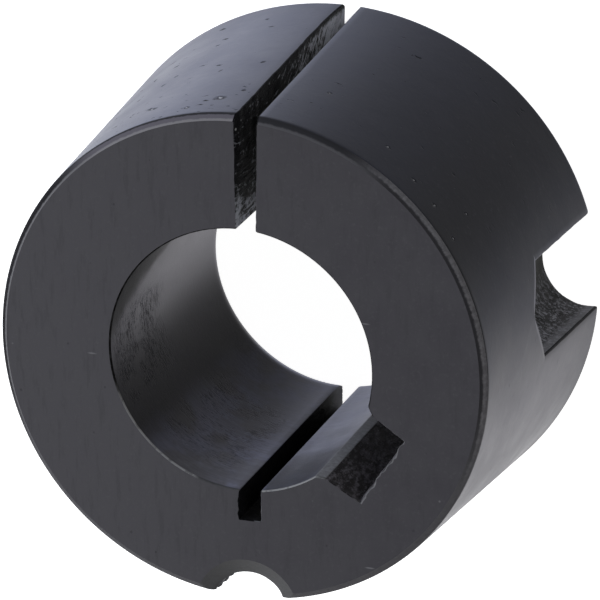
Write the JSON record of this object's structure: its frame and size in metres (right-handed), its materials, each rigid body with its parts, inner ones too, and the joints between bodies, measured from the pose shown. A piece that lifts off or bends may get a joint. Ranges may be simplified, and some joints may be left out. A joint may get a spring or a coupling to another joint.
{
  "type": "split taper bushing",
  "caption": "Short split sleeve with a tapered outside, a keyed bore, a saw slit and half holes along its outer face for clamping and jacking screws.",
  "frame": {"origin": "centre of the bore in the plane of the large end face", "axes": "+Z along the bore's axis from the large end to the small end, +Y towards the saw slit"},
  "size_m": [0.0382, 0.0383, 0.0222],
  "materials": {
    "blackened_iron": "black oxide over turned, sawn and broached faces, matt to satin"
  },
  "bodies": {
    "root": {"bushing": "blackened_iron"}
  },
  "joints": []
}
